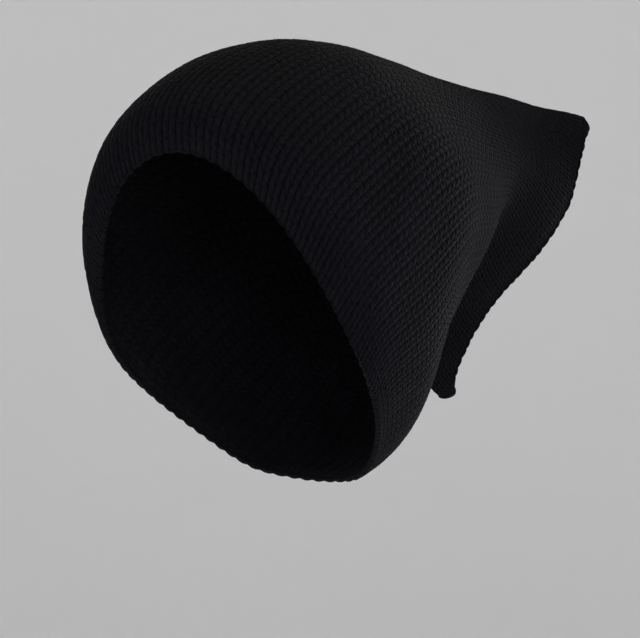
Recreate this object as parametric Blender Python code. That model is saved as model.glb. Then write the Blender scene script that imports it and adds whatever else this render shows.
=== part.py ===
# Stocking cap: a knitted tube, open at a slanting hem and sewn shut flat at the far end.
# Metres, +Z up, +X the wearer's left, the face opening looks along -Y.
# The origin is where the inside of the crown rests on top of the head.
# A section is a loop across the tube, drawn in a fan from the hem to the sewn end.
import bpy
import numpy as np

MM = 0.001
WALL = 2.8            # thickness of the knitted fabric
RIM_ROUND = 1.3       # how far the hem's rounded edge stands forward
HOLLOW_END = 0.985    # share of the tube's length that stays hollow
OUTER_LOOPS = 47
INNER_LOOPS = 41
HALF_LOOP = 24        # steps from the top fold to the lower fold, on one side
THIN_HALF = 0.9       # least half width of the hollow, where the end is pressed flat

SWING_DEG = 21.0      # the sewn end leans to the wearer's left
SWING_FROM, SWING_TO = 0.20, 1.10
TWIST = 0.5           # share of the lean that the lower fold doesn't take
TWIST_FROM, TWIST_TO = 0.20, 1.00
WIDTH_FROM, WIDTH_TO = 0.25, 0.80

# The sewn edge: steps out from the end of the tube, and how far it stands off the end's outline.
EDGE_STEPS = (
    ("gap", 0.30, -1.70),
    ("foot", 0.90, -0.60),
    ("swell", 1.90, 0.25),
    ("full", 3.10, 0.45),
    ("turn", 4.20, 0.00),
    ("brow", 5.00, -0.95),
    ("tip", 5.40, -2.05),
)

# The tube's inner face, one row a section, in millimetres.
# top and low are the two folds in the wearer's middle plane, up and low the half widths
# near them, bow the section's bulge across its chord and sway its S-bend.
SECTIONS = (
    # name     top_y   top_z   low_y   low_z   up     low    bow    sway
    ("hem", -84.5, -43.0, 37.0, -204.0, 61.0, 62.0, -16.0, 0.0),
    ("brow", -82.0, -25.0, 42.5, -200.5, 72.5, 64.0, -13.5, -1.0),
    ("front", -53.5, -9.5, 62.0, -198.0, 77.5, 69.0, -5.0, -1.0),
    ("crown", -2.0, 0.0, 82.5, -183.0, 79.0, 63.5, -3.0, 1.5),
    ("back", 50.5, -4.5, 91.0, -168.5, 71.5, 54.0, 0.0, 1.0),
    ("crest", 98.5, -14.5, 96.5, -160.0, 59.5, 43.5, -2.5, 0.0),
    ("pleat", 131.5, -22.5, 99.5, -149.0, 44.5, 24.5, -2.5, 2.0),
    ("valley", 161.5, -29.5, 107.5, -142.0, 29.0, 10.5, -1.0, 3.5),
    ("tail", 187.0, -37.0, 121.5, -164.0, 14.0, 3.5, 3.5, 6.0),
    ("seam", 203.5, -42.0, 132.5, -175.0, 0.9, 0.9, 4.0, 5.0),
)


def ease(low, high, value):
    """0 below low, 1 above high, with a smooth run between."""
    t = np.clip((value - low) / (high - low), 0.0, 1.0)
    return t * t * (3.0 - 2.0 * t)


def through(values, count, top):
    """Natural cubic through equally spaced values, read at count places up to the share top."""
    y = np.asarray(values, float)
    last = len(y) - 1
    matrix = np.eye(last + 1)
    right = np.zeros(last + 1)
    for i in range(1, last):
        matrix[i, i - 1:i + 2] = (1.0, 4.0, 1.0)
        right[i] = 6.0 * (y[i + 1] - 2.0 * y[i] + y[i - 1])
    bend = np.linalg.solve(matrix, right)
    x = np.linspace(0.0, last * top, count)
    i = np.minimum(x.astype(int), last - 1)
    f = x - i
    g = 1.0 - f
    straight = y[i] * g + y[i + 1] * f
    return straight + (g ** 3 - g) * bend[i] / 6.0 + (f ** 3 - f) * bend[i + 1] / 6.0


def turns(up, low, half_length, fan):
    """Angles round half a section; with fan, the thin folds get steps of their own."""
    even = np.arange(HALF_LOOP + 1) * np.pi / HALF_LOOP
    angle = np.repeat(even[None, :], len(up), 0)
    if not fan:
        return angle
    for step, slope in ((1, 30.0), (2, 60.0), (3, 80.0)):
        reach = np.tan(np.radians(slope))
        near_top = np.arctan(up[:, 0] / half_length[:, 0] * reach)
        near_low = np.arctan(low[:, 0] / half_length[:, 0] * reach)
        angle[:, step] = np.minimum(near_top, even[step])
        angle[:, HALF_LOOP - step] = np.pi - np.minimum(near_low, even[step])
    first = angle[:, 3:4]
    final = angle[:, HALF_LOOP - 3:HALF_LOOP - 2]
    share = (np.arange(4, HALF_LOOP - 3) - 3) / (HALF_LOOP - 6.0)
    angle[:, 4:HALF_LOOP - 3] = first + (final - first) * share[None, :]
    return angle


def inner_loops(count, top, fan):
    """Closed loops of the tube's inner face: down the left side, back up the right."""
    columns = np.array([row[1:] for row in SECTIONS], float).T
    lofted = [through(column, count, top)[:, None] for column in columns]
    top_y, top_z, low_y, low_z, up, low, bow, sway = lofted
    up = np.maximum(up, THIN_HALF)
    low = np.maximum(low, THIN_HALF)
    run_y = low_y - top_y
    run_z = low_z - top_z
    length = np.hypot(run_y, run_z)
    angle = turns(up, low, length / 2.0, fan)
    share = (1.0 - np.cos(angle)) / 2.0
    off = bow * np.sin(angle) ** 2 + sway * np.sin(2.0 * np.pi * share)
    y = top_y + share * run_y - off * run_z / length
    z = top_z + share * run_z + off * run_y / length
    mix = ease(WIDTH_FROM, WIDTH_TO, share)
    x = (up * (1.0 - mix) + low * mix) * np.sin(angle)
    x[:, 0] = 0.0
    x[:, -1] = 0.0
    along = np.linspace(0.0, top, count)[:, None]
    lean = np.radians(SWING_DEG) * ease(SWING_FROM, SWING_TO, along)
    lean = lean * (1.0 - TWIST * ease(TWIST_FROM, TWIST_TO, share))
    left = np.stack([x * np.cos(lean) + y * np.sin(lean), y * np.cos(lean) - x * np.sin(lean), z], -1)
    right = np.stack([y * np.sin(lean) - x * np.cos(lean), y * np.cos(lean) + x * np.sin(lean), z], -1)
    return np.concatenate([left, right[:, HALF_LOOP - 1:0:-1]], 1)


def unit(vectors):
    return vectors / (np.linalg.norm(vectors, axis=-1, keepdims=True) + 1e-12)


def facing(loops):
    """At each point the way out of the cloth, and the way along the tube."""
    ahead = unit(np.roll(loops, -1, 1) - loops)
    behind = unit(loops - np.roll(loops, 1, 1))
    along = np.empty_like(loops)
    along[1:-1] = unit(loops[2:] - loops[1:-1]) + unit(loops[1:-1] - loops[:-2])
    along[0] = loops[1] - loops[0]
    along[-1] = loops[-1] - loops[-2]
    along = unit(along)
    return unit(np.cross(ahead + behind, along)), along


def end_facing(loop):
    """On the tube's flat end: the way on past the end, and the way out of the cloth."""
    left = loop[:HALF_LOOP + 1]
    right = np.roll(loop[::-1], 1, 0)[:HALF_LOOP + 1]
    middle = (left + right) / 2.0
    step = unit(middle[1:] - middle[:-1])
    down = unit(np.concatenate([step[:1], step[1:] + step[:-1], step[-1:]]))
    across = unit(left[1:-1] - right[1:-1])
    across = np.concatenate([across[:1], across, across[-1:]])
    half = unit(np.cross(across, down))
    away = np.concatenate([half, half[HALF_LOOP - 1:0:-1]])
    ahead = unit(np.roll(loop, -1, 0) - loop)
    behind = unit(loop - np.roll(loop, 1, 0))
    return away, unit(np.cross(ahead + behind, away))


def sleeve(name, loops, material, home):
    """A closed body from loops that face out, with a strip across its first and last loop."""
    rows, around = loops.shape[:2]
    faces = []
    for row in range(rows - 1):
        for k in range(around):
            n = (k + 1) % around
            a = row * around
            b = a + around
            faces.append((a + k, a + n, b + n, b + k))
    half = around // 2
    base = (rows - 1) * around
    for k in range(half):
        right_now = (around - k) % around
        right_next = around - k - 1
        shut = [k, k + 1, right_next, right_now]
        if k == 0:
            shut = [0, 1, right_next]
        if k == half - 1:
            shut = [k, k + 1, right_now]
        faces.append(tuple(base + v for v in shut))
        faces.append(tuple(reversed(shut)))
    mesh = bpy.data.meshes.new(name)
    mesh.from_pydata((loops.reshape(-1, 3) * MM).tolist(), [], faces)
    mesh.materials.append(material)
    for polygon in mesh.polygons:
        polygon.use_smooth = True
    mesh.update()
    body = bpy.data.objects.new(name, mesh)
    home.objects.link(body)
    return body


def cloth(name, color, roughness):
    """A plain cloth material."""
    material = bpy.data.materials.new(name)
    material.use_nodes = True
    shader = material.node_tree.nodes["Principled BSDF"]
    shader.inputs["Base Color"].default_value = (*color, 1.0)
    shader.inputs["Roughness"].default_value = roughness
    return material


def cap_body(home):
    """Knitted tube: inner face, rounded hem, outer face, end pressed flat."""
    base = inner_loops(OUTER_LOOPS, 1.0, True)
    out, along = facing(base)
    away, out[-1] = end_facing(base[-1])
    outer = base + WALL * out
    inner = inner_loops(INNER_LOOPS, HOLLOW_END, False)
    rim = (outer[0] + inner[0]) / 2.0 - RIM_ROUND * along[0]
    loops = np.concatenate([inner[::-1], rim[None], outer], 0)
    sleeve("cap_body", loops, cloth("black_knit", (0.011, 0.0105, 0.013), 0.95), home)
    return outer[-1], out[-1], away


def closing_seam(end, out, away, home):
    """Thick sewn edge that shuts the tube, a hair's breadth behind its end."""
    loops = np.stack([end + step * away + off * out for _, step, off in EDGE_STEPS], 0)
    sleeve("closing_seam", loops, cloth("black_seam_wool", (0.013, 0.0125, 0.015), 0.9), home)


def main():
    for old in list(bpy.data.objects):
        bpy.data.objects.remove(old, do_unlink=True)
    home = bpy.data.collections.new("stocking_cap")
    bpy.context.scene.collection.children.link(home)
    end, out, away = cap_body(home)
    closing_seam(end, out, away, home)


main()
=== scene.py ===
# Stocking cap: knitted stitches, cast-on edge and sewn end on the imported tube.
# Lengths on the cap are millimetres until object_from makes metres of them; the camera and
# the lamps are placed in metres. +Z is up and +X is the wearer's left.
import math

import bpy
import numpy as np
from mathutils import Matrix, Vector


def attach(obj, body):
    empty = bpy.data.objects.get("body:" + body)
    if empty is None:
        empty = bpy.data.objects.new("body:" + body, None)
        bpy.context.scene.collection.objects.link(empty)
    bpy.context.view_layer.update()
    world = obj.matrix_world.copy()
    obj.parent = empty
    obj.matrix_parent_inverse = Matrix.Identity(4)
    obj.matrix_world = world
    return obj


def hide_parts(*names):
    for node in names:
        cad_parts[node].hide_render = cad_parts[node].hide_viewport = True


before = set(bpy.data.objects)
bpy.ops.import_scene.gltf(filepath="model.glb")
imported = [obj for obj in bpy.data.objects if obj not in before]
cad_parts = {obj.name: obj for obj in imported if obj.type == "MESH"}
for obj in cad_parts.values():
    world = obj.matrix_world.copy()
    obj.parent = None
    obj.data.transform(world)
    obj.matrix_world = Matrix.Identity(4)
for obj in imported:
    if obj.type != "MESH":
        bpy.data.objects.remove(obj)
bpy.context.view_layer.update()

MM = 0.001

# The tube, as in the part's source.
WALL = 2.8              # thickness of the knitted fabric
THIN_HALF = 0.9         # least half width of the hollow, where the end is pressed flat
HOLLOW_END = 0.985      # share of the tube's length that stays hollow
SWING_DEG = 21.0        # the sewn end leans to the wearer's left
SWING_FROM, SWING_TO = 0.20, 1.10
TWIST = 0.5             # share of the lean that the lower fold doesn't take
TWIST_FROM, TWIST_TO = 0.20, 1.00
WIDTH_FROM, WIDTH_TO = 0.25, 0.80
SECTIONS = (
    # top_y   top_z   low_y   low_z   up     low    bow    sway
    (-84.5, -43.0, 37.0, -204.0, 61.0, 62.0, -16.0, 0.0),
    (-82.0, -25.0, 42.5, -200.5, 72.5, 64.0, -13.5, -1.0),
    (-53.5, -9.5, 62.0, -198.0, 77.5, 69.0, -5.0, -1.0),
    (-2.0, 0.0, 82.5, -183.0, 79.0, 63.5, -3.0, 1.5),
    (50.5, -4.5, 91.0, -168.5, 71.5, 54.0, 0.0, 1.0),
    (98.5, -14.5, 96.5, -160.0, 59.5, 43.5, -2.5, 0.0),
    (131.5, -22.5, 99.5, -149.0, 44.5, 24.5, -2.5, 2.0),
    (161.5, -29.5, 107.5, -142.0, 29.0, 10.5, -1.0, 3.5),
    (187.0, -37.0, 121.5, -164.0, 14.0, 3.5, 3.5, 6.0),
    (203.5, -42.0, 132.5, -175.0, 0.9, 0.9, 4.0, 5.0),
)

# Where the worn knit gives beyond the solids' plainer tube: centre and reach as shares along
# it, centre and reach in degrees round it from the top fold, and the move in x, y and z.
GIVES = (
    ("far cheek", 0.01, 0.10, 268.0, 23.0, (-4.4, -1.8, -1.5)),
    ("left of the nape", 0.10, 0.12, 154.0, 16.0, (1.8, 0.5, -4.7)),
    ("right of the nape", 0.10, 0.12, 206.0, 16.0, (-1.8, 0.5, -4.7)),
    ("middle of the nape", 0.10, 0.12, 180.0, 17.0, (0.0, 0.275, -2.585)),
    ("hollow before the tail", 0.68, 0.13, 100.0, 20.0, (9.0, 1.5, 0.0)),
)
# The sewn end's upper corner perks up.
CORNER_FROM, CORNER_TO = 0.84, 0.97
CORNER_REACH = 0.09
CORNER_LIFT = 1.7

# The knit: stitch columns (wales) round the tube, stitch rows (courses) along it.
WALES = 80
COURSES = 48
PER_WALE = 6            # mesh columns to a wale
PER_COURSE = 3          # mesh rows to a course
INNER_PER_COURSE = 2
INNER_SKIP = 2          # the inner face takes every second mesh column
WALE_STOPS = (0.0, 0.15, 0.36, 0.50, 0.64, 0.85)
COLUMNS = WALES * PER_WALE
ROWS = COURSES * PER_COURSE
INNER_COLUMNS = COLUMNS // INNER_SKIP
INNER_ROWS = COURSES * INNER_PER_COURSE
COLUMN = np.arange(COLUMNS)
COLUMN_STOP = np.array(WALE_STOPS)[COLUMN % PER_WALE]

CHEVRON = 0.80          # how far a stitch's legs climb, in courses
CHEVRON_ROWS = 4.0      # rows over which the climb fades in from either end
RELIEF = 0.078          # a stitch's relief, as a share of its width
RELIEF_TALL = 1.5       # a squat stitch counts as at most this many heights wide
PURL_CLIMB = 0.36       # how far the inner face's ridges wave, in courses
PURL_ROWS = 3.0
PURL_RELIEF = 0.07
PURL_VALLEY = -0.75
# Heights in a stitch at its six columns and three rows, as a share of the relief.
STITCH = np.array((
    (-1.00, -0.90, -0.95),
    (0.10, 0.60, 0.50),
    (0.20, 0.80, 0.65),
    (-0.65, -0.25, -0.40),
    (0.20, 0.80, 0.65),
    (0.10, 0.60, 0.50),
))

# Slow unevenness of hand-pulled knit, calm at the hem and at the sewn end.
SLOW_WAVE, QUICK_WAVE = 0.55, 0.22
HEM_CALM, END_CALM = 0.12, 0.9          # shares along the tube

# The cast-on edge: rows round it, half thickness and how far it stands forward, each with
# what a stitch's bulge adds.
RIM = 5
RIM_RADIUS, RIM_RADIUS_BULGE = 1.45, 0.40
RIM_FORWARD, RIM_FORWARD_BULGE = 1.1, 0.75

# The sewn ridge, across and back from the tube's flat end.
END_ROOM = (3.0, 3.6)   # how far it runs past the upper and the lower fold
SEAM_PITCH = 5.2        # one link of its chain
SEAM_PER_LINK = 12      # mesh rings to a link
SEAM_SIDES = 44
SEAM_SIDE = 4.15        # half thickness
SEAM_FOOT = -1.1        # how deep it sits in the cloth
SEAM_CREST = 3.1        # how far it stands back
SEAM_SLANT = 0.42       # how far the legs lean on their way down the sides
LINK_RISE = 0.90
LINK_MEAN = 0.62
LINK_POWER = 0.75       # below 1, so the links are fuller than a sine
LEGS_FROM, LEGS_TO = 2.35, 1.75         # turns off the crest between which the legs come up
CREASES = ((-0.42, 0.0, 0.20), (-0.35, 2.0, 0.22))      # depth, turn off the crest and reach
# How soon its width, foot and relief reach full size from either end, and its height from
# the upper and the lower one.
WIDTH_DOME, FOOT_DOME, RELIEF_DOME = 4.4, 3.5, 3.0
TOP_DOME, TOP_DOME_POWER, LOW_DOME = 8.0, 1.5, 5.0
SEAM_STRIPS = 3         # the bake map lays it out in this many strips
# Its swells and dips: height, place and reach, by distance from either corner or the top.
TOP_KNOT, LOW_KNOT = (2.1, 6.5, 4.0), (3.6, 4.5, 4.5)
TOP_NOTCH, LOW_NOTCH = (-1.1, 11.2, 1.4), (-0.5, 10.5, 1.8)
SAGS = ((-1.5, 30.0, 12.0), (-0.8, 104.0, 9.0))
BOW = (0.9, 0.48, 0.12)  # place and reach are shares of the ridge's length
KNOT_SPREAD = 0.12      # how much a knot thickens the ridge all round


def ease(low, high, value):
    """0 at low, 1 at high, with a smooth run between."""
    t = np.clip((value - low) / (high - low), 0.0, 1.0)
    return t * t * (3.0 - 2.0 * t)


def hill(value, centre, reach):
    """1 at the centre, falling away smoothly on both sides."""
    return np.exp(-((value - centre) / reach) ** 2)


def dome(distance, reach):
    """A quarter ellipse, from 0 at the end to 1 at reach from it."""
    f = np.clip(distance / reach, 0.0, 1.0)
    return np.sqrt(1.0 - (1.0 - f) ** 2)


def swell(distance, height, place, reach):
    return height * hill(distance, place, reach)


def unit(vectors):
    return vectors / (np.linalg.norm(vectors, axis=-1, keepdims=True) + 1e-12)


def bends(values):
    """Second derivatives of the natural cubic through equally spaced rows of values."""
    last = len(values) - 1
    matrix = np.eye(last + 1)
    right = np.zeros_like(values)
    for i in range(1, last):
        matrix[i, i - 1:i + 2] = (1.0, 4.0, 1.0)
        right[i] = 6.0 * (values[i + 1] - 2.0 * values[i] + values[i - 1])
    return np.linalg.solve(matrix, right)


TABLE = np.array(SECTIONS, float)
BENDS = bends(TABLE)


def section(along):
    """The eight section values at shares along the tube."""
    x = np.asarray(along, float) * (len(TABLE) - 1)
    i = np.clip(x.astype(int), 0, len(TABLE) - 2)
    f = (x - i)[..., None]
    g = 1.0 - f
    straight = TABLE[i] * g + TABLE[i + 1] * f
    return straight + (g ** 3 - g) * BENDS[i] / 6.0 + (f ** 3 - f) * BENDS[i + 1] / 6.0


def settle(along, angle, share):
    """How far the worn knit gives at each point, in x, y and z."""
    turn = np.degrees(np.mod(angle, 2.0 * np.pi))
    move = np.zeros(angle.shape + (3,))
    for _, centre, reach, round_centre, round_reach, way in GIVES:
        size = hill(along, centre, reach) * hill(turn, round_centre, round_reach)
        move += size[..., None] * np.array(way)
    corner = ease(CORNER_FROM, CORNER_TO, along) * hill(share, 0.0, CORNER_REACH)
    move[..., 2] += corner * CORNER_LIFT
    return move


def tube(along, angle):
    """Points of the tube's inner face; angle 0 is the top fold and pi the lower one."""
    top_y, top_z, low_y, low_z, up, low, bow, sway = np.moveaxis(section(along), -1, 0)
    up = np.maximum(up, THIN_HALF)
    low = np.maximum(low, THIN_HALF)
    run_y = low_y - top_y
    run_z = low_z - top_z
    length = np.hypot(run_y, run_z)
    share = (1.0 - np.cos(angle)) / 2.0
    off = bow * np.sin(angle) ** 2 + sway * np.sin(2.0 * np.pi * share)
    y = top_y + share * run_y - off * run_z / length
    z = top_z + share * run_z + off * run_y / length
    mix = ease(WIDTH_FROM, WIDTH_TO, share)
    x = (up * (1.0 - mix) + low * mix) * np.sin(angle)
    lean = np.radians(SWING_DEG) * ease(SWING_FROM, SWING_TO, along)
    lean = lean * (1.0 - TWIST * ease(TWIST_FROM, TWIST_TO, share))
    leaning = np.stack([x * np.cos(lean) + y * np.sin(lean),
                        y * np.cos(lean) - x * np.sin(lean), z], -1)
    return leaning + settle(along, angle, share)


def tube_facing(along, angle):
    """The way out of the cloth and the way along it."""
    nudge = 1e-4
    round_it = tube(along, angle + nudge) - tube(along, angle - nudge)
    ahead = tube(along + nudge, angle) - tube(along - nudge, angle)
    return unit(np.cross(round_it, ahead)), unit(ahead)


GRID_ROWS = 241         # loops measured along the tube
GRID_TURNS = 181        # even steps round half a loop
FOLD_SLOPES = np.tan(np.radians(np.linspace(2.0, 88.0, 44)))[None, :]   # more at the thin folds


def knit_grid():
    """The mesh columns, at equal steps round every loop of the outer face: each one's angle and
    how far it has run down the tube at every share along, and the way round each loop."""
    along = np.linspace(0.0, 1.0, GRID_ROWS)[:, None]
    values = section(along[:, 0])
    half = np.hypot(values[:, 2] - values[:, 0], values[:, 3] - values[:, 1])[:, None] / 2.0
    up = np.maximum(values[:, 4], THIN_HALF)[:, None]
    low = np.maximum(values[:, 5], THIN_HALF)[:, None]
    even = np.repeat(np.linspace(0.0, np.pi, GRID_TURNS)[None, :], GRID_ROWS, 0)
    near_top = np.arctan(up / half * FOLD_SLOPES)
    near_low = np.pi - np.arctan(low / half * FOLD_SLOPES)
    one_side = np.sort(np.concatenate([even, near_top, near_low], 1), 1)
    angle = np.concatenate([one_side, 2.0 * np.pi - one_side[:, -2::-1]], 1)
    everywhere = np.broadcast_to(along, angle.shape)
    out, _ = tube_facing(everywhere, angle)
    outer = tube(everywhere, angle) + WALL * out
    steps = np.linalg.norm(np.diff(outer, axis=1), axis=2)
    travel = np.concatenate([np.zeros((GRID_ROWS, 1)), np.cumsum(steps, 1)], 1)

    turn = (COLUMN // PER_WALE + COLUMN_STOP) / WALES
    angle_at = np.empty((GRID_ROWS, COLUMNS))
    place = np.empty((GRID_ROWS, COLUMNS, 3))
    for i in range(GRID_ROWS):
        want = turn * travel[i, -1]
        angle_at[i] = np.interp(want, travel[i], angle[i])
        for axis in range(3):
            place[i, :, axis] = np.interp(want, travel[i], outer[i, :, axis])
    steps = np.linalg.norm(np.diff(place, axis=0), axis=2)
    down = np.concatenate([np.zeros((1, COLUMNS)), np.cumsum(steps, 0)], 0)
    return along[:, 0], angle_at, down, travel[:, -1]


GRID_ALONG, GRID_ANGLE, GRID_DOWN, GRID_ROUND = knit_grid()


def at_shares(shares, columns):
    """Along and angle where each column has run its share of its own length."""
    along = np.empty(shares.shape)
    angle = np.empty(shares.shape)
    for k, column in enumerate(columns):
        want = shares[:, k] * GRID_DOWN[-1, column]
        along[:, k] = np.interp(want, GRID_DOWN[:, column], GRID_ALONG)
        angle[:, k] = np.interp(want, GRID_DOWN[:, column], GRID_ANGLE[:, column])
    return along, angle


def off_ends(row, rows, reach):
    """1 in the rows between, fading to 0 at the first row and the last."""
    return np.minimum(ease(0.0, reach, row.astype(float)),
                      ease(0.0, reach, (rows - row).astype(float)))


def undulation(points):
    """Slow unevenness of hand-pulled knit, in millimetres."""
    x, y, z = points[..., 0], points[..., 1], points[..., 2]
    slow = np.sin(x * 0.045 + 1.3) * np.sin(y * 0.038 - 0.4) * np.sin(z * 0.041 + 2.1)
    quick = np.sin(x * 0.11 + y * 0.07) * np.sin(z * 0.09 - y * 0.05 + 0.8)
    return SLOW_WAVE * slow + QUICK_WAVE * quick


def outer_face():
    """Stitches of the outer face: points, heights in the stitch, the ways out and ahead, and
    the inner points below them."""
    row = np.arange(ROWS + 1)[:, None]
    free = off_ends(row, ROWS, CHEVRON_ROWS)
    climb = CHEVRON * (np.abs(2.0 * COLUMN_STOP - 1.0) - 0.5) * free
    shares = (row / PER_COURSE + climb) / COURSES
    along, angle = at_shares(np.clip(shares, 0.0, 1.0), COLUMN)
    base = tube(along, angle)
    out, ahead = tube_facing(along, angle)
    height = STITCH[COLUMN % PER_WALE].T[row[:, 0] % PER_COURSE]
    wide = np.interp(along, GRID_ALONG, GRID_ROUND) / WALES
    tall = GRID_DOWN[-1][None, :] / COURSES
    relief = RELIEF * np.minimum(wide, RELIEF_TALL * tall)
    waves = undulation(base) * ease(0.0, HEM_CALM, along) * ease(1.0, END_CALM, along)
    return base + (WALL + waves + relief * height)[..., None] * out, height, out, ahead, base


def inner_face():
    """Purl side: wavy ridges across the columns; points, and how high each stands."""
    columns, stops = COLUMN[::INNER_SKIP], COLUMN_STOP[::INNER_SKIP]
    row = np.arange(INNER_ROWS + 1)[:, None]
    free = off_ends(row, INNER_ROWS, PURL_ROWS)
    climb = PURL_CLIMB * np.cos(2.0 * np.pi * stops)[None, :] * free
    shares = (row / INNER_PER_COURSE + climb) / COURSES * HOLLOW_END
    along, angle = at_shares(np.clip(shares, 0.0, 1.0), columns)
    base = tube(along, angle)
    out, _ = tube_facing(along, angle)
    ridge = row % INNER_PER_COURSE == 0
    high = np.where(ridge, 1.0, PURL_VALLEY) * np.ones((1, len(columns)))
    wide = np.interp(along, GRID_ALONG, GRID_ROUND) / WALES
    # The relief and the waves die away where the hollow has no room for them.
    room = np.interp(along, GRID_ALONG, np.maximum(section(GRID_ALONG)[:, 5], THIN_HALF))
    relief = PURL_RELIEF * wide * ease(2.0, 9.0, room) * free
    waves = undulation(base) * ease(0.0, HEM_CALM, along) * ease(3.0, 12.0, room)
    return base + (waves - relief * high)[..., None] * out, high


def cast_on(outer, base, out, ahead, bulge):
    """Rounded rows from the outer face's first row to the inner face's, scalloped by wale."""
    lip = base[0] + (outer[0] - base[0]) / 2.0
    radius = RIM_RADIUS + RIM_RADIUS_BULGE * bulge
    forward = RIM_FORWARD + RIM_FORWARD_BULGE * bulge
    rows = []
    for i in range(1, RIM + 1):
        turn = np.pi * (i / (RIM + 1.0)) - np.pi / 2.0
        rows.append(lip - out[0] * radius * np.sin(turn) - ahead[0] * forward * np.cos(turn))
    return np.array(rows)


def object_from(name, points, faces, material):
    mesh = bpy.data.meshes.new(name)
    mesh.from_pydata((np.asarray(points) * MM).tolist(), [], faces)
    mesh.materials.append(material)
    mesh.polygons.foreach_set("use_smooth", np.full(len(mesh.polygons), True))
    mesh.update()
    thing = bpy.data.objects.new(name, mesh)
    bpy.context.scene.collection.objects.link(thing)
    return thing


def grid_faces(rows, around, base):
    """Quads between closed rows of points."""
    k = np.arange(around)
    n = (k + 1) % around
    a = base + np.arange(rows - 1)[:, None] * around
    return np.stack([a + k, a + n, a + around + n, a + around + k], -1).reshape(-1, 4)


def strip(base, around):
    """Faces across a flat loop, from its left half to its right half."""
    faces = []
    half = around // 2
    for k in range(half):
        right_now = (around - k) % around
        right_next = around - k - 1
        shut = [k, k + 1, right_next, right_now]
        if k == 0:
            shut = [0, 1, right_next]
        if k == half - 1:
            shut = [k, k + 1, right_now]
        faces.append([base + v for v in shut])
    return faces


def set_point(mesh, name, values):
    layer = mesh.attributes.new(name, "FLOAT", "POINT")
    layer.data.foreach_set("value", np.clip(values, 0.0, 1.0).astype(np.float32))


def set_map(mesh, name, values):
    layer = mesh.uv_layers.new(name=name)
    layer.uv.foreach_set("vector", values.astype(np.float32).ravel())


def corners_of(mesh):
    """Each face corner's point and face, and how many faces there are."""
    corner = np.empty(len(mesh.loops), np.int64)
    mesh.loops.foreach_get("vertex_index", corner)
    totals = np.empty(len(mesh.polygons), np.int64)
    mesh.polygons.foreach_get("loop_total", totals)
    return corner, np.repeat(np.arange(len(totals)), totals), len(totals)


def spread(values, face_of, faces_count):
    """The least and the greatest of the corners' values in each face."""
    least = np.full(faces_count, 1e9)
    greatest = np.full(faces_count, -1e9)
    np.minimum.at(least, face_of, values)
    np.maximum.at(greatest, face_of, values)
    return least, greatest


class Nodes:
    """Short calls for a material's node tree."""

    def __init__(self, name):
        self.material = bpy.data.materials.new(name)
        self.material.use_nodes = True
        self.tree = self.material.node_tree
        self.shader = self.tree.nodes["Principled BSDF"]

    def add(self, kind, **settings):
        node = self.tree.nodes.new(kind)
        for key, value in settings.items():
            setattr(node, key, value)
        return node

    def put(self, target, value):
        """Link a node's output to a socket, or set a plain value on it."""
        if isinstance(value, bpy.types.NodeSocket):
            self.tree.links.new(value, target)
        else:
            target.default_value = value

    def feed(self, node, **values):
        for key, value in values.items():
            self.put(node.inputs[key], value)
        return node

    def math(self, operation, a, b=0.0):
        node = self.add("ShaderNodeMath", operation=operation)
        for target, value in zip(node.inputs, (a, b)):
            self.put(target, value)
        return node.outputs[0]

    def noise(self, where, scale, detail=3.0, rough=0.6):
        node = self.add("ShaderNodeTexNoise")
        self.feed(node, Vector=where, Scale=scale, Detail=detail, Roughness=rough)
        return node.outputs["Fac"]

    def ramp(self, value, *stops):
        node = self.add("ShaderNodeValToRGB")
        for end, (place, color) in zip(node.color_ramp.elements, stops):
            end.position = place
            end.color = (*color, 1.0)
        self.tree.links.new(value, node.inputs["Fac"])
        return node.outputs["Color"]

    def mix(self, kind, factor, a, b):
        node = self.add("ShaderNodeMix", data_type="RGBA", blend_type=kind)
        targets = [s for s in node.inputs if s.enabled]
        for target, value in zip(targets, (factor, a, b)):
            self.put(target, (*value, 1.0) if isinstance(value, tuple) else value)
        return [s for s in node.outputs if s.enabled][0]

    def bump(self, height, strength, distance, before=None):
        node = self.add("ShaderNodeBump")
        self.feed(node, Height=height, Strength=strength, Distance=distance)
        if before is not None:
            self.tree.links.new(before, node.inputs["Normal"])
        return node.outputs["Normal"]

    def finish(self, color, **uniform):
        """The base colour, and what is the same all over, set on the shader itself."""
        self.tree.links.new(color, self.shader.inputs["Base Color"])
        for key, value in uniform.items():
            self.shader.inputs[key.replace("_", " ")].default_value = value
        return self.material


def grey(value):
    return (value, value, value)


# Noise scales, in waves a metre.
WOBBLE, FIBRES, TUFTS, PATCHES = 140.0, 1500.0, 420.0, 22.0
# Bump depths, in metres.
STITCH_BUMP, PLY_BUMP, TUFT_BUMP, FIBRE_BUMP = 0.0007, 0.0004, 0.0004, 0.00025
LINT_SHARE, LINT_GAIN = 0.22, 3.2
# How much of the painted top sheen's lighter, warmer tone the upward faces take.
TOP_SHEEN_SHARE = 0.75
DULLEST, DULL_RANGE = 0.82, 0.16      # roughness, and what the tufts add to it


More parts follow.
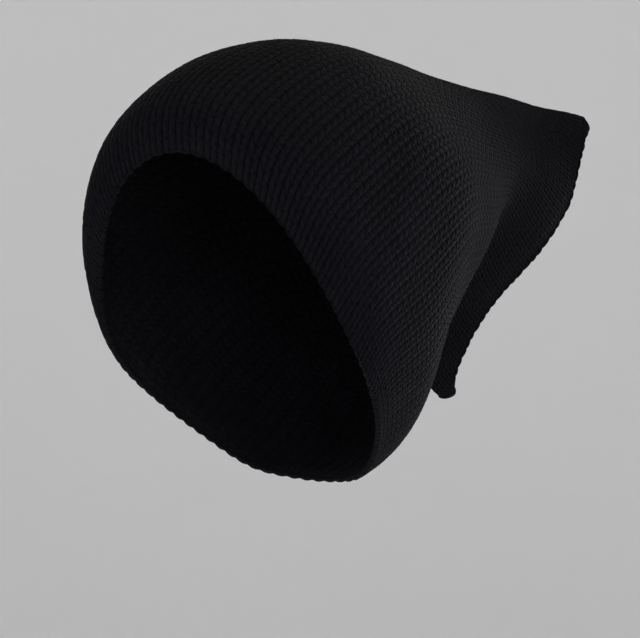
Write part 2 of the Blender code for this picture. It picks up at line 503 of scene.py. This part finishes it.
def wool(name, dark, light, sheen_tone, plies, stitch_share):
    """Soft spun wool: plies along the yarn, loose fibres, lint, a painted sheen on the upward
    faces and painted shade in the hollows.
    """
    n = Nodes(name)
    coords = n.add("ShaderNodeTexCoord").outputs["Object"]
    yarn = n.add("ShaderNodeUVMap", uv_map="yarn").outputs["UV"]
    split = n.add("ShaderNodeSeparateXYZ")
    n.feed(split, Vector=yarn)
    across, down = split.outputs["X"], split.outputs["Y"]

    def wave(value, power):
        half_turns = n.math("SINE", n.math("MULTIPLY", value, math.pi))
        return n.math("POWER", n.math("ABSOLUTE", half_turns), power)

    stitch = n.math("MULTIPLY", wave(across, 0.6), wave(down, 0.45))
    phase = n.math("ADD", n.math("MULTIPLY", down, plies[0]),
                   n.math("MULTIPLY", across, plies[1]))
    phase = n.math("ADD", phase, n.math("MULTIPLY", n.noise(coords, WOBBLE, 2.0), 0.9))
    ply = n.math("SINE", n.math("MULTIPLY", phase, 2.0 * math.pi))
    ply = n.math("ADD", n.math("MULTIPLY", ply, 0.5), 0.5)
    fibres = n.noise(coords, FIBRES, 4.0, 0.7)
    tufts = n.noise(coords, TUFTS, 3.0, 0.6)
    patches = n.noise(coords, PATCHES, 3.0, 0.55)
    depth = n.add("ShaderNodeAttribute", attribute_name="depth").outputs["Fac"]
    top_sheen = n.add("ShaderNodeAttribute", attribute_name="top_sheen").outputs["Fac"]

    color = n.ramp(patches, (0.30, dark), (0.72, light))
    # Painted sheen: faces turned upward blend towards a lighter, warmer tone.
    color = n.mix("MIX", n.math("MULTIPLY", top_sheen, TOP_SHEEN_SHARE), color, sheen_tone)
    lint = n.ramp(fibres, (0.60, grey(0.0)), (0.78, grey(1.0)))
    lint_color = tuple(min(1.0, LINT_GAIN * c) for c in light)
    color = n.mix("MIX", n.math("MULTIPLY", lint, LINT_SHARE), color, lint_color)
    # Painted shade: the colour darkens where the depth attribute is low, in the stitches'
    # hollows, the purl valleys, between the rim's scallops and in the seam's creases.
    shade = n.ramp(depth, (0.0, grey(0.70)), (0.62, grey(1.0)))
    color = n.mix("MULTIPLY", 1.0, color, shade)
    # Painted shade in the gaps between the stitches' legs, with a slight painted highlight on
    # their crowns.
    gap_shade = n.ramp(stitch, (0.05, grey(0.64)), (0.75, grey(1.06)))
    color = n.mix("MULTIPLY", stitch_share, color, gap_shade)
    ply_shade = n.ramp(ply, (0.0, grey(0.76)), (0.5, grey(1.0)))
    color = n.mix("MULTIPLY", 1.0, color, ply_shade)

    rough = n.math("ADD", n.math("MULTIPLY", tufts, DULL_RANGE), DULLEST)
    n.tree.links.new(rough, n.shader.inputs["Roughness"])
    normal = n.bump(stitch, stitch_share, STITCH_BUMP)
    normal = n.bump(ply, 0.55, PLY_BUMP, normal)
    normal = n.bump(tufts, 0.45, TUFT_BUMP, normal)
    normal = n.bump(fibres, 0.5, FIBRE_BUMP, normal)
    n.tree.links.new(normal, n.shader.inputs["Normal"])
    return n.finish(color, Sheen_Weight=0.006, Sheen_Roughness=0.5, Specular_IOR_Level=0.02)


def plain(name, color):
    """A matt paint, a little cloudy."""
    n = Nodes(name)
    coords = n.add("ShaderNodeTexCoord").outputs["Object"]
    cloudy = n.noise(coords, 1.2, 2.0)
    tone = n.ramp(cloudy, (0.3, tuple(c * 0.985 for c in color)), (0.7, color))
    return n.finish(tone, Roughness=0.9, Specular_IOR_Level=0.0)


# The cap's bake map: its margin, and the bands that hold the inner face, the rim, the outer
# face and the two flat ends, one above another.
MAP_MARGIN, MAP_WIDE = 0.01, 0.98
INNER_BAND, INNER_BAND_TALL = 0.02, 0.30
RIM_BAND, RIM_STEP = 0.325, 0.006
OUTER_BAND, OUTER_BAND_TALL = 0.36, 0.62
OUTER_END_BAND, INNER_END_BAND, END_BAND_TALL = 0.985, 0.004, 0.010
RIM_YARN = -0.2         # the yarn map's step from one rim row to the next


def knit_maps(mesh):
    """Two maps: yarn runs along each stitch's legs, and the bake's map lays the tube flat."""
    inner_rows = np.arange(INNER_ROWS + 1)
    column_of = np.concatenate([
        np.tile(np.arange(INNER_COLUMNS) * INNER_SKIP, INNER_ROWS + 1),
        np.tile(COLUMN, RIM + ROWS + 1)])
    level = np.concatenate([
        np.repeat(inner_rows[::-1] / INNER_PER_COURSE + 0.5, INNER_COLUMNS),
        np.repeat(RIM_YARN * np.arange(RIM, 0, -1), COLUMNS),
        np.repeat(np.arange(ROWS + 1) / PER_COURSE, COLUMNS)])
    high_on = np.concatenate([
        np.repeat(INNER_BAND + INNER_BAND_TALL * inner_rows / INNER_ROWS, INNER_COLUMNS),
        np.repeat(RIM_BAND + RIM_STEP * np.arange(RIM), COLUMNS),
        np.repeat(OUTER_BAND + OUTER_BAND_TALL * np.arange(ROWS + 1) / ROWS, COLUMNS)])
    corners, face_of, faces_count = corners_of(mesh)
    column = column_of[corners].astype(float)
    least, greatest = spread(column, face_of, faces_count)
    # Faces that close the loop count their first columns on past the last.
    wraps = (greatest - least)[face_of] > COLUMNS * 0.5
    ends = faces_count - COLUMNS // 2 - INNER_COLUMNS // 2
    column[wraps & (column < COLUMNS * 0.5) & (face_of < ends)] += COLUMNS
    stop_of = np.array(WALE_STOPS + (1.0,))
    wale = column // PER_WALE + stop_of[(column % PER_WALE).astype(int)]
    leg = np.abs(2.0 * (wale - np.floor(wale)) - 1.0)
    flat = np.stack([MAP_MARGIN + MAP_WIDE * column / COLUMNS, high_on[corners]], -1)
    shut = face_of >= ends
    side = column[shut] > COLUMNS * 0.5
    outer_end = face_of[shut] < ends + COLUMNS // 2
    from_top = np.where(side, COLUMNS - column[shut], column[shut])
    flat[shut, 0] = MAP_MARGIN + MAP_WIDE * from_top / COLUMNS * 2.0
    flat[shut, 1] = np.where(outer_end, OUTER_END_BAND, INNER_END_BAND) + END_BAND_TALL * side
    set_map(mesh, "yarn", np.stack([leg, level[corners]], -1))
    set_map(mesh, "OFBake", flat)


def knit_cap(material):
    """The knitted tube: rows from inside the sewn end, out over the edge, and back to it."""
    outer, height, out, ahead, base = outer_face()
    inner, high = inner_face()
    bulge = (0.5 - 0.5 * np.cos(2.0 * np.pi * COLUMN_STOP))[:, None]
    rim = cast_on(outer, base, out, ahead, bulge)
    points = np.concatenate([rows.reshape(-1, 3) for rows in (inner[::-1], rim[::-1], outer)])

    # The inner face has half the columns, so three triangles join each pair to the rim.
    inner_count = (INNER_ROWS + 1) * INNER_COLUMNS
    edge = inner_count - INNER_COLUMNS
    j = np.arange(INNER_COLUMNS)
    jn = (j + 1) % INNER_COLUMNS
    first = inner_count + INNER_SKIP * j
    second = first + 1
    third = inner_count + INNER_SKIP * jn
    faces = grid_faces(INNER_ROWS + 1, INNER_COLUMNS, 0).tolist()
    faces += np.stack([edge + j, second, first], -1).tolist()
    faces += np.stack([edge + j, edge + jn, second], -1).tolist()
    faces += np.stack([edge + jn, third, second], -1).tolist()
    faces += grid_faces(RIM + ROWS + 1, COLUMNS, inner_count).tolist()
    faces += strip(inner_count + (RIM + ROWS) * COLUMNS, COLUMNS)
    faces += [face[::-1] for face in strip(0, INNER_COLUMNS)]
    cap = object_from("knit_cap", points, faces, material)

    # Painted shade: these heights set how dark each point's colour is painted, darkest in the
    # hollows.
    set_point(cap.data, "depth", np.concatenate([
        (high[::-1] * 0.35 + 0.6).ravel(),
        np.tile(0.35 + 0.5 * bulge[:, 0], RIM),
        (height * 0.5 + 0.5).ravel()]))
    # Painted sheen: outer points take more of the lighter, warmer top tone the more they face
    # upward; the inner face and the rim take none.
    set_point(cap.data, "top_sheen", np.concatenate([
        np.zeros(inner_count + RIM * COLUMNS), ease(0.35, 1.0, out[..., 2]).ravel()]))
    knit_maps(cap.data)
    return cap


def end_line(count):
    """The sewn end's middle line from the upper corner down, with its own directions."""
    angle = np.linspace(0.0, np.pi, 721)
    along = np.ones_like(angle)
    left = tube(along, angle)
    right = tube(along, -angle)
    middle = (left + right) / 2.0
    steps = np.linalg.norm(np.diff(middle, axis=0), axis=1)
    travel = np.concatenate([[0.0], np.cumsum(steps)])
    step_up = unit(middle[4:5] - middle[:1])
    step_down = unit(middle[-1:] - middle[-5:-4])
    upper, lower = END_ROOM
    middle = np.concatenate(
        [middle[:1] - step_up * upper, middle, middle[-1:] + step_down * lower])
    travel = np.concatenate([[0.0], travel + upper, [travel[-1] + upper + lower]])
    want = np.linspace(0.0, travel[-1], count)

    def along_line(places, vectors):
        return np.stack([np.interp(want, places, vectors[:, k]) for k in range(3)], -1)

    line = along_line(travel, middle)
    down = unit(np.gradient(line, axis=0))
    across = along_line(travel[2:-2], unit(left[1:-1] - right[1:-1]))
    across = unit(across - down * (across * down).sum(1, keepdims=True))
    return want, line, across, unit(np.cross(across, down))


def seam_maps(mesh, rows):
    """Yarn runs along the chain's legs, and the bake's map has the ridge in strips."""
    ring = np.concatenate([np.tile(np.arange(SEAM_SIDES), rows), [0, 0]]).astype(float)
    row = np.concatenate([np.repeat(np.arange(rows), SEAM_SIDES), [-1, rows]]).astype(float)
    corner, face_of, faces_count = corners_of(mesh)
    on_ring = ring[corner]
    on_row = row[corner]
    _, furthest = spread(on_ring, face_of, faces_count)
    tip = (on_row < 0) | (on_row >= rows)
    wraps = (furthest > SEAM_SIDES * 0.6)[face_of] & (on_ring < SEAM_SIDES * 0.4) & ~tip
    on_ring[wraps] += SEAM_SIDES
    on_ring[tip] = SEAM_SIDES * 0.5
    turn_back = on_ring > SEAM_SIDES / 2.0
    folded = np.abs(np.where(turn_back, SEAM_SIDES - on_ring, on_ring)) / SEAM_SIDES
    yarn = np.stack(
        [on_row / SEAM_PER_LINK + 2.0 * SEAM_SLANT * np.pi * folded, 5.0 * folded], -1)
    first_row, _ = spread(on_row, face_of, faces_count)
    strip_rows = rows / SEAM_STRIPS
    strip_of = np.clip((first_row + 0.5) // strip_rows, 0, SEAM_STRIPS - 1)[face_of]
    place = on_row - strip_of * strip_rows
    flat = np.stack([(strip_of + 0.02 + 0.96 * on_ring / SEAM_SIDES) / SEAM_STRIPS,
                     0.03 + 0.94 * place / strip_rows], -1)
    set_map(mesh, "yarn", yarn)
    set_map(mesh, "OFBake", flat)


def sewn_end(material):
    """The bound edge: one plump ridge with a chain of links along it."""
    length = end_line(2)[0][-1]
    links = round(length / SEAM_PITCH)
    travel, line, across, away = end_line(links * SEAM_PER_LINK + 1)
    psi = (np.arange(SEAM_SIDES) / SEAM_SIDES * 2.0 * np.pi)[None, :]
    lean = np.abs(np.where(psi > np.pi, 2.0 * np.pi - psi, psi))
    from_top = travel[:, None]
    from_low = length - from_top
    near = np.minimum(from_top, from_low)

    # Each link's two legs lean away from the crest and sink into the cloth at the sides.
    drift = 0.10 * np.sin(from_top * 0.33) + 0.06 * np.sin(from_top * 0.87 + 0.5)
    phase = from_top / length * links + drift + SEAM_SLANT * lean
    leg = np.abs(np.sin(np.pi * phase)) ** LINK_POWER
    shown = ease(LEGS_FROM, LEGS_TO, lean)
    link = LINK_RISE * (leg - LINK_MEAN) * shown * (1.0 - 0.5 * hill(lean, 0.0, 0.7))
    crease = sum(swell(lean, *groove) for groove in CREASES)
    knot = swell(from_top, *TOP_KNOT) + swell(from_low, *LOW_KNOT)
    lift = (link + crease + KNOT_SPREAD * knot) * dome(near, RELIEF_DOME)

    # How far the ridge stands back, along its length.
    slow = (0.32 * np.sin(from_top * 0.13 + 0.7) * np.sin(from_top * 0.071 + 0.4)
            + 0.16 * np.sin(from_top * 0.41 + 1.9))
    notch = swell(from_top, *TOP_NOTCH) + swell(from_low, *LOW_NOTCH)
    rise, place, reach = BOW
    bow = swell(from_top, rise, place * length, reach * length)
    bow = bow + sum(swell(from_top, *sag) for sag in SAGS)
    rounding = np.where(from_top < from_low, dome(from_top, TOP_DOME) ** TOP_DOME_POWER,
                        dome(from_low, LOW_DOME))
    crest = (SEAM_CREST + slow + knot + notch + bow) * rounding
    foot = SEAM_FOOT * dome(near, FOOT_DOME)

    x = np.sin(psi) * (SEAM_SIDE * dome(near, WIDTH_DOME) + lift)
    y = (crest + foot) / 2.0 + np.cos(psi) * ((crest - foot) / 2.0 + lift)
    rings = line[:, None] + across[:, None] * x[..., None] + away[:, None] * y[..., None]
    points = np.concatenate([rings[1:-1].reshape(-1, 3), line[:1], line[-1:]])

    # The first and the last ring shrink to a point, closed by a fan.
    rows = len(travel) - 2
    faces = grid_faces(rows, SEAM_SIDES, 0).tolist()
    first, last = rows * SEAM_SIDES, rows * SEAM_SIDES + 1
    final_ring = (rows - 1) * SEAM_SIDES
    for k in range(SEAM_SIDES):
        n = (k + 1) % SEAM_SIDES
        faces.append([first, n, k])
        faces.append([last, final_ring + k, final_ring + n])
    seam = object_from("sewn_end", points, faces, material)
    # Painted shade: the seam's colour is painted darker in the creases between its links.
    depth = (0.25 + 0.75 * leg * shown)[1:-1]
    set_point(seam.data, "depth", np.concatenate([depth.ravel(), [0.5, 0.5]]))
    # The seam takes none of the painted top sheen.
    set_point(seam.data, "top_sheen", np.zeros(len(points)))
    seam_maps(seam.data, rows)
    return seam


# Where the camera stands, from the photograph's own perspective.
HEAD = Vector((0.0, 0.0, -0.0897))      # the middle of the cap's hollow
AZIMUTH, ELEVATION = math.radians(29.4), math.radians(5.0)
REACH = 1.25
BACK = Vector((math.sin(AZIMUTH) * math.cos(ELEVATION),
               -math.cos(AZIMUTH) * math.cos(ELEVATION), math.sin(ELEVATION)))
RIGHT = Vector((math.cos(AZIMUTH), math.sin(AZIMUTH), 0.0))
UP = BACK.cross(RIGHT)
AIM = HEAD + 0.0204 * RIGHT - 0.0361 * UP
SENSOR, LENS = 36.0, 151.9

WHITE = (1.0, 1.0, 1.0)
LAMPS = (
    # name, place, size, power, colour
    ("key", (0.90, -1.85, 0.30), 1.3, 16.0, WHITE),
    ("fill", (1.7, -1.1, 0.25), 1.4, 12.5, WHITE),
    ("far_fill", (-1.5, -1.4, 0.3), 1.4, 21.0, WHITE),
    ("top", (0.1, 0.2, 1.9), 1.2, 2.6, (1.0, 0.90, 0.84)),
    ("side", (2.0, 0.2, 0.2), 1.4, 16.0, (1.0, 0.98, 1.0)),
    ("rear", (0.3, 2.1, -0.1), 1.4, 38.0, WHITE),
    ("far_rear", (-1.3, 1.6, -0.2), 1.4, 42.0, WHITE),
)
AIR_COLOR, AIR_STRENGTH = (0.93, 0.95, 1.0, 1.0), 0.42
STUDIO_GREY = (0.708, 0.706, 0.704)

# The studio's round floor and wall, in millimetres.
FLOOR_Z, FLAT_RADIUS, WALL_RADIUS, WALL_TOP = -1300.0, 2600.0, 3600.0, 3000.0
CURVE_STEPS = 8
STUDIO_SIDES = 96
CENTRE_HOLE = 1.0


def face_to(thing, place, aim):
    thing.location = place
    thing.rotation_mode = "QUATERNION"
    thing.rotation_quaternion = (aim - Vector(place)).to_track_quat("-Z", "Y")
    bpy.context.scene.collection.objects.link(thing)


def camera():
    data = bpy.data.cameras.new("camera")
    data.sensor_width = SENSOR
    data.lens = LENS
    eye = bpy.data.objects.new("camera", data)
    face_to(eye, HEAD + REACH * BACK, AIM)
    bpy.context.scene.camera = eye


def lamp(name, place, size, power, color):
    data = bpy.data.lights.new(name, "AREA")
    data.shape = "DISK"
    data.size = size
    data.energy = power
    data.color = color
    face_to(bpy.data.objects.new(name, data), place, HEAD)


def studio():
    """A pale floor that rises into a round wall, far enough for every view."""
    bend = WALL_RADIUS - FLAT_RADIUS
    profile = [(CENTRE_HOLE, FLOOR_Z), (FLAT_RADIUS, FLOOR_Z)]
    for i in range(1, CURVE_STEPS + 1):
        turn = i / CURVE_STEPS * math.pi / 2.0
        profile.append((FLAT_RADIUS + bend * math.sin(turn),
                        FLOOR_Z + bend * (1.0 - math.cos(turn))))
    profile.append((WALL_RADIUS, WALL_TOP))
    turn = np.arange(STUDIO_SIDES) * 2.0 * np.pi / STUDIO_SIDES
    rings = [np.stack([r * np.cos(turn), r * np.sin(turn), np.full(STUDIO_SIDES, z)], -1)
             for r, z in profile]
    faces = grid_faces(len(profile), STUDIO_SIDES, 0).tolist()
    faces.append(list(range(STUDIO_SIDES))[::-1])
    faces = [face[::-1] for face in faces]
    floor = object_from(
        "studio_floor", np.concatenate(rings), faces, plain("studio_grey", STUDIO_GREY))
    for row in LAMPS:
        lamp(*row)
    world = bpy.data.worlds.new("studio_air")
    world.use_nodes = True
    air = world.node_tree.nodes["Background"]
    air.inputs["Color"].default_value = AIR_COLOR
    air.inputs["Strength"].default_value = AIR_STRENGTH
    bpy.context.scene.world = world
    bpy.context.scene.view_settings.view_transform = "Standard"


camera()
studio()
# Dark and light tones, the tone of the painted sheen on top, turns of the plies down and across
# the yarn map, and how much of each stitch's bump and painted gap shade shows.
black_knit = wool("black_wool_knit", (0.0031, 0.0028, 0.0041), (0.0052, 0.0048, 0.0066),
                  (0.0056, 0.0047, 0.0050), (2.0, 1.6), 1.0)
black_seam = wool("black_seam_yarn", (0.0034, 0.0030, 0.0040), (0.0055, 0.0049, 0.0062),
                  (0.0058, 0.0050, 0.0052), (1.0, 2.0), 0.0)
cap = knit_cap(black_knit)
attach(cap, "root")
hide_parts("cap_body")
seam = sewn_end(black_seam)
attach(seam, "root")
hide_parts("closing_seam")
